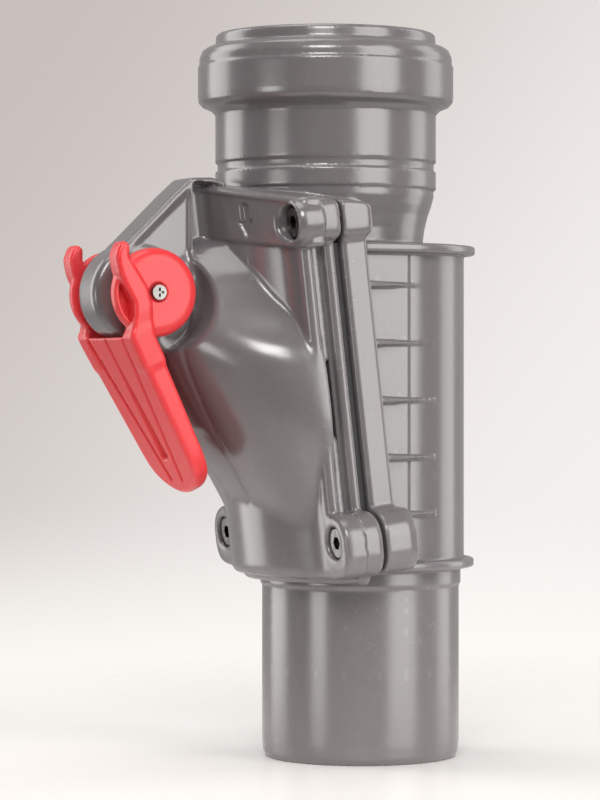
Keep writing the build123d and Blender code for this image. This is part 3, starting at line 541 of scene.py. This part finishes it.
def mix(nt, fac, a, b):
    m = nt.nodes.new("ShaderNodeMix")
    m.data_type = "RGBA"
    if isinstance(fac, float):
        m.inputs[0].default_value = fac
    else:
        nt.links.new(fac, m.inputs[0])
    for sock, val in ((m.inputs[6], a), (m.inputs[7], b)):
        if isinstance(val, tuple):
            sock.default_value = (*val, 1)
        else:
            nt.links.new(val, sock)
    return m.outputs[2]


def bump(nt, sh, height, strength, dist):
    b = nt.nodes.new("ShaderNodeBump")
    b.inputs["Strength"].default_value = strength
    b.inputs["Distance"].default_value = dist
    nt.links.new(height, b.inputs["Height"])
    nt.links.new(b.outputs[0], sh.inputs["Normal"])


def add(nt, a, b, k=1.0):
    m = nt.nodes.new("ShaderNodeMath")
    m.operation = "MULTIPLY_ADD"
    nt.links.new(b, m.inputs[0])
    m.inputs[1].default_value = k
    nt.links.new(a, m.inputs[2])
    return m.outputs[0]


def plastic(name, base, light, dark, rough=0.3, grain=0.02, spec=0.5, seam=None):
    """Moulded plastic: faint flow marks and mottling, a painted highlight lightening convex edges, micro texture."""
    m, nt, sh, co = new_material(name)
    flow = noise(nt, co, 38.0, 4.0, 0.55, (1.0, 1.0, 0.35))
    fine = noise(nt, co, 420.0, 3.0)
    colour = mix(nt, ramp(nt, flow, 0.35, 0.68, 0.0, 1.0), dark, base)
    colour = mix(nt, ramp(nt, fine, 0.55, 0.8, 0.0, 0.18), colour, light)
    # painted highlight: convex edges (high pointiness) are mixed toward the lighter tone, as if catching light
    geo = nt.nodes.new("ShaderNodeNewGeometry")
    colour = mix(nt, ramp(nt, geo.outputs["Pointiness"], 0.515, 0.56, 0.0, 0.35), colour, light)
    nt.links.new(colour, sh.inputs["Base Color"])
    nt.links.new(ramp(nt, add(nt, flow, fine, 0.4), 0.45, 0.95, rough - 0.04, rough + 0.07), sh.inputs["Roughness"])
    sh.inputs["Specular IOR Level"].default_value = spec
    micro = noise(nt, co, 2600.0, 2.0)
    height = add(nt, micro, flow, 0.7)
    if seam is not None:
        # the mould's parting line along the socket
        xyz = nt.nodes.new("ShaderNodeSeparateXYZ")
        nt.links.new(co, xyz.inputs[0])
        off = nt.nodes.new("ShaderNodeMath")
        off.operation = "SUBTRACT"
        nt.links.new(xyz.outputs[0], off.inputs[0])
        off.inputs[1].default_value = seam
        side = nt.nodes.new("ShaderNodeMath")
        side.operation = "ABSOLUTE"
        nt.links.new(off.outputs[0], side.inputs[0])
        line = ramp(nt, side.outputs[0], 0.0001, 0.00045, 1.0, 0.0)
        above = ramp(nt, xyz.outputs[2], 0.1285, 0.1300, 0.0, 3.0)
        both = nt.nodes.new("ShaderNodeMath")
        both.operation = "MULTIPLY"
        nt.links.new(line, both.inputs[0])
        nt.links.new(above, both.inputs[1])
        height = add(nt, height, both.outputs[0], 1.0)
    bump(nt, sh, height, grain * 2.5, 0.0002)
    return m, nt, sh


def steel_material(name="bright_steel", dark=(0.46, 0.445, 0.42), light=(0.60, 0.59, 0.57)):
    m, nt, sh, co = new_material(name)
    n = noise(nt, co, 900.0, 3.0, 0.6, (1, 1, 0.2))
    nt.links.new(mix(nt, ramp(nt, n, 0.4, 0.7, 0, 1), dark, light), sh.inputs["Base Color"])
    nt.links.new(ramp(nt, n, 0.3, 0.7, 0.16, 0.30), sh.inputs["Roughness"])
    sh.inputs["Metallic"].default_value = 1.0
    bump(nt, sh, n, 0.05, 0.0001)
    return m


def rubber_material():
    m, nt, sh, co = new_material("black_rubber")
    n = noise(nt, co, 700.0, 4.0, 0.6)
    nt.links.new(mix(nt, ramp(nt, n, 0.35, 0.7, 0, 1), (0.010, 0.010, 0.011), (0.026, 0.025, 0.025)), sh.inputs["Base Color"])
    nt.links.new(ramp(nt, n, 0.3, 0.7, 0.5, 0.7), sh.inputs["Roughness"])
    bump(nt, sh, n, 0.15, 0.0002)
    return m


GREY = (0.158, 0.144, 0.148)
grey, _, _ = plastic("grey_polypropylene", GREY, (0.23, 0.218, 0.222), (0.146, 0.133, 0.137), 0.22, 0.016, 1.0)
grey_body, _, _ = plastic("grey_polypropylene_body", GREY, (0.23, 0.218, 0.222), (0.150, 0.137, 0.141), 0.21, 0.020, 1.0, SOCK_X * MM)
grey_in, _, _ = plastic("grey_polypropylene_inner", (0.28, 0.27, 0.28), (0.36, 0.35, 0.36), (0.25, 0.24, 0.25), 0.36)
red, _, red_sh = plastic("red_lever_plastic", (0.76, 0.046, 0.052), (0.84, 0.12, 0.11), (0.73, 0.038, 0.046), 0.30, 0.010, 0.45)
red_sh.inputs["Subsurface Weight"].default_value = 0.25
red_sh.inputs["Subsurface Radius"].default_value = (1.0, 0.25, 0.2)
red_sh.inputs["Subsurface Scale"].default_value = 0.003
white, _, _ = plastic("white_acetal", (0.72, 0.71, 0.68), (0.80, 0.80, 0.78), (0.66, 0.65, 0.62), 0.32)
steel = steel_material()
rubber = rubber_material()
brass, bnt, bsh, bco = new_material("brass")
bn = noise(bnt, bco, 600.0, 3.0)
bnt.links.new(mix(bnt, ramp(bnt, bn, 0.4, 0.7, 0, 1), (0.62, 0.44, 0.18), (0.72, 0.54, 0.26)), bsh.inputs["Base Color"])
bnt.links.new(ramp(bnt, bn, 0.3, 0.7, 0.22, 0.36), bsh.inputs["Roughness"])
bsh.inputs["Metallic"].default_value = 1.0
bump(bnt, bsh, bn, 0.05, 0.0001)

BY_NODE = {
    "valve_body": grey, "cover": grey, "flap_frame": grey, "flap": grey_in, "seal_retainer": grey_in, "lever": red,
    "socket_seal": rubber, "frame_gasket": rubber, "cover_seal": rubber, "flap_seal": rubber, "spindle_o_rings": rubber,
    "threaded_inserts": brass, "lock_cam": white, "spindle_bushes": white, "plunger_guide": white,
}
steel_dark = steel_material("nickel_screws", (0.16, 0.155, 0.145), (0.24, 0.235, 0.225))
BY_NODE["lever_screws"] = steel_dark
BY_NODE["cover_screws"] = steel_dark
for name, ob in nodes.items():
    ob.data.materials.clear()
    ob.data.materials.append(BY_NODE.get(name, steel))

# ---------------------------------------------------------------- detailed pieces
def detailed(name, field, lo, hi, step, material, body, *replaced):
    v, f = surface(field, lo, hi, step)
    ob = mesh_object(name, v, f)
    ob.data.materials.append(material)
    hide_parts(*replaced)
    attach(ob, body)
    return ob


STEP = 0.5
cover_ob = detailed("cover_shell", cover_f, (14.0, -39.5, 45.5), (78.0, 39.5, 148.5), STEP, grey, "housing", "cover")
lever_ob = detailed("lever_body", lever_f, (34.0, -18.5, 58.0), (80.5, 18.5, 131.5), STEP * 0.8, red, "lever_assembly", "lever")
frame_ob = detailed("flap_frame_ring", frame_f, (6.0, -39.5, 43.5), (45.0, 39.5, 146.5), STEP, grey, "housing", "flap_frame")
body_ob = detailed("valve_body_shell", body_f, (-30.5, -39.5, -1.0), (44.5, 39.5, 184.0), STEP, grey_body, "housing", "valve_body")

# ---------------------------------------------------------------- camera
PSI = math.radians(26.0)
view_dir = Vector((-math.sin(PSI), -math.cos(PSI), 0.0))
cam_data = bpy.data.cameras.new("camera")
cam = bpy.data.objects.new("camera", cam_data)
scene.collection.objects.link(cam)
cam_data.sensor_width = 36.0
cam_data.lens = 3170.0 / 800.0 * 36.0
cam_data.shift_y = -26.0 / 800.0
cam.location = (0.01381 + 0.35377, -0.00673 + 0.72533, 0.0969)
cam.rotation_mode = "QUATERNION"
cam.rotation_quaternion = view_dir.to_track_quat("-Z", "Y")
cam_data.clip_start, cam_data.clip_end = 0.05, 30.0
scene.camera = cam
scene.view_settings.view_transform = "Standard"

# ---------------------------------------------------------------- floor, world and lights
def disc(name, r, n=96):
    v = [(0, 0, 0)] + [(r * math.cos(2 * math.pi * i / n), r * math.sin(2 * math.pi * i / n), 0) for i in range(n)]
    f = [(0, 1 + i, 1 + (i + 1) % n) for i in range(n)]
    me = bpy.data.meshes.new(name)
    me.from_pydata(v, [], f)
    ob = bpy.data.objects.new(name, me)
    scene.collection.objects.link(ob)
    return ob


floor = disc("floor", 2.4)
fm, fnt, fsh, fco = new_material("pale_floor")
fn = noise(fnt, fco, 6.0, 2.0)
fnt.links.new(mix(fnt, ramp(fnt, fn, 0.3, 0.7, 0, 1), (0.93, 0.91, 0.885), (0.95, 0.935, 0.915)), fsh.inputs["Base Color"])
fsh.inputs["Emission Color"].default_value = (1.0, 0.97, 0.93, 1)
fsh.inputs["Emission Strength"].default_value = 0.06
fnt.links.new(ramp(fnt, fn, 0.3, 0.7, 0.28, 0.36), fsh.inputs["Roughness"])
dist = fnt.nodes.new("ShaderNodeVectorMath")
dist.operation = "LENGTH"
fnt.links.new(fco, dist.inputs[0])
tr = fnt.nodes.new("ShaderNodeBsdfTransparent")
mx = fnt.nodes.new("ShaderNodeMixShader")
r = fnt.nodes.new("ShaderNodeMapRange")
r.interpolation_type = "SMOOTHSTEP"
r.inputs[1].default_value, r.inputs[2].default_value = 0.03, 0.34
fnt.links.new(dist.outputs["Value"], r.inputs[0])
fnt.links.new(r.outputs[0], mx.inputs[0])
fnt.links.new(fsh.outputs[0], mx.inputs[1])
fnt.links.new(tr.outputs[0], mx.inputs[2])
fout = [n for n in fnt.nodes if n.type == "OUTPUT_MATERIAL"][0]
fnt.links.new(mx.outputs[0], fout.inputs[0])
floor.data.materials.append(fm)

world = bpy.data.worlds.new("studio")
scene.world = world
world.use_nodes = True
wnt = world.node_tree
wnt.nodes.clear()
wout = wnt.nodes.new("ShaderNodeOutputWorld")
bg_light = wnt.nodes.new("ShaderNodeBackground")
bg_seen = wnt.nodes.new("ShaderNodeBackground")
wmix = wnt.nodes.new("ShaderNodeMixShader")
lp = wnt.nodes.new("ShaderNodeLightPath")
wtc = wnt.nodes.new("ShaderNodeTexCoord")
dot = wnt.nodes.new("ShaderNodeVectorMath")
dot.operation = "DOT_PRODUCT"
dot.inputs[1].default_value = (math.sin(PSI), math.cos(PSI), 0.0)
wnt.links.new(wtc.outputs["Generated"], dot.inputs[0])
wr = wnt.nodes.new("ShaderNodeMapRange")
wr.interpolation_type = "SMOOTHSTEP"
wr.inputs[1].default_value, wr.inputs[2].default_value = -0.6, 0.5
wr.inputs[3].default_value, wr.inputs[4].default_value = 0.45, 0.06
wnt.links.new(dot.outputs["Value"], wr.inputs[0])
bg_light.inputs[0].default_value = (1.0, 0.975, 0.965, 1)
wnt.links.new(wr.outputs[0], bg_light.inputs[1])
# the pale backdrop: darker towards the upper left of the photograph's view
dot2 = wnt.nodes.new("ShaderNodeVectorMath")
dot2.operation = "DOT_PRODUCT"
dot2.inputs[1].default_value = (-math.cos(PSI) * 0.8, math.sin(PSI) * 0.8, -0.6)
wnt.links.new(wtc.outputs["Generated"], dot2.inputs[0])
wr2 = wnt.nodes.new("ShaderNodeMapRange")
wr2.interpolation_type = "SMOOTHSTEP"
wr2.inputs[1].default_value, wr2.inputs[2].default_value = -0.14, 0.10
wnt.links.new(dot2.outputs["Value"], wr2.inputs[0])
wc = wnt.nodes.new("ShaderNodeMix")
wc.data_type = "RGBA"
wc.inputs[6].default_value = (0.575, 0.525, 0.500, 1)
wc.inputs[7].default_value = (0.90, 0.865, 0.85, 1)
wnt.links.new(wr2.outputs[0], wc.inputs[0])
# and brighter below the horizon, where it meets the table
wxyz = wnt.nodes.new("ShaderNodeSeparateXYZ")
wnt.links.new(wtc.outputs["Generated"], wxyz.inputs[0])
wlow = wnt.nodes.new("ShaderNodeMapRange")
wlow.interpolation_type = "SMOOTHSTEP"
wlow.inputs[1].default_value, wlow.inputs[2].default_value = -0.035, -0.105
wnt.links.new(wxyz.outputs[2], wlow.inputs[0])
wlc = wnt.nodes.new("ShaderNodeMix")
wlc.data_type = "RGBA"
wnt.links.new(wlow.outputs[0], wlc.inputs[0])
wnt.links.new(wc.outputs[2], wlc.inputs[6])
wlc.inputs[7].default_value = (1.0, 0.975, 0.935, 1)
wnt.links.new(wlc.outputs[2], bg_seen.inputs[0])
wnt.links.new(lp.outputs["Is Camera Ray"], wmix.inputs[0])
wnt.links.new(bg_light.outputs[0], wmix.inputs[1])
wnt.links.new(bg_seen.outputs[0], wmix.inputs[2])
wnt.links.new(wmix.outputs[0], wout.inputs[0])


def soft_box(name, phi, distance, height, width, tall, power, colour=(1, 0.985, 0.97)):
    """A softbox at an angle phi to the right of the camera's direction, seen from the part."""
    p = math.radians(phi)
    d = Vector((math.sin(PSI) * math.cos(p) - math.cos(PSI) * math.sin(p), math.cos(PSI) * math.cos(p) + math.sin(PSI) * math.sin(p), 0))
    ld = bpy.data.lights.new(name, "AREA")
    ld.shape = "RECTANGLE"
    ld.size, ld.size_y = width, tall
    ld.energy = power
    ld.color = colour
    lo = bpy.data.objects.new(name, ld)
    scene.collection.objects.link(lo)
    lo.location = d * distance + Vector((0.01, 0, height))
    aim = Vector((0.02, 0, 0.1)) - lo.location
    lo.rotation_mode = "QUATERNION"
    lo.rotation_quaternion = aim.to_track_quat("-Z", "Y")
    return lo


soft_box("key_right", 49.0, 1.0, 0.37, 0.66, 1.1, 9.4)
soft_box("fill_left", -50.0, 1.1, 0.05, 0.35, 0.35, 1.6)
soft_box("rim_left", -112.0, 1.0, 0.35, 0.56, 1.2, 6.2)
soft_box("rim_right", 112.0, 1.1, 0.30, 0.5, 1.1, 3.4)
soft_box("front_top", -4.0, 1.0, 0.74, 0.42, 0.42, 6.5)
soft_box("overhead", -60.0, 0.35, 1.5, 1.0, 1.0, 8.5)
